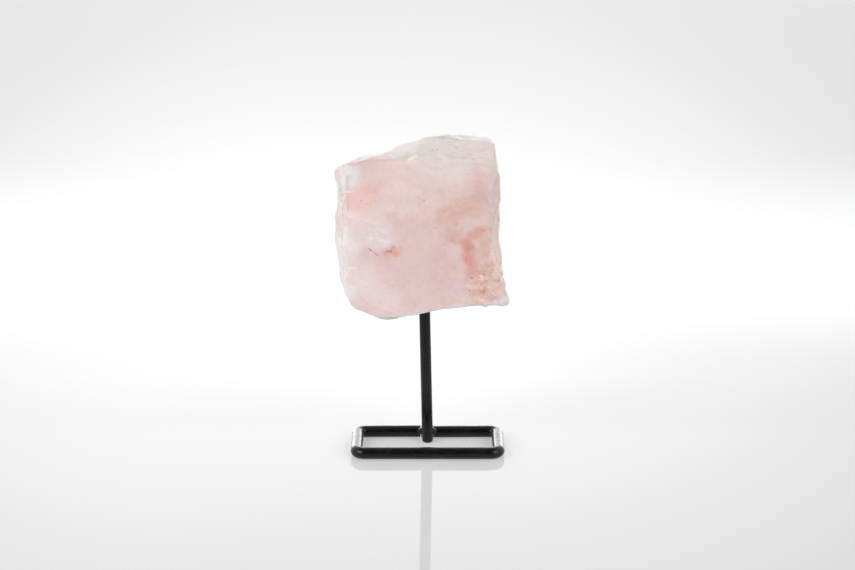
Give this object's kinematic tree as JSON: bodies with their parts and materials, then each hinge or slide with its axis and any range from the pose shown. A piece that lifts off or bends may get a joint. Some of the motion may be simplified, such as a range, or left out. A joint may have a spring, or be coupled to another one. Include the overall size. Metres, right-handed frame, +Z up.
{
  "type": "rose quartz chunk",
  "caption": "Rough, flat-fronted chunk of pale rose quartz held up on a black wire stand: a slim leaning rod welded to a rectangular ring base.",
  "frame": {"origin": "middle of the upright rod's foot, on the surface that the stand rests on", "axes": "+Z up, -Y the way the stone's broad face looks, +X to the right of someone facing it"},
  "size_m": [0.0726, 0.0496, 0.1382],
  "materials": {
    "rose_quartz": "satin",
    "black_enamel": "gloss"
  },
  "bodies": {
    "root": {"rose_quartz_chunk": "rose_quartz", "upright_rod": "black_enamel", "base_ring": "black_enamel", "weld_bead": "black_enamel"}
  },
  "joints": []
}
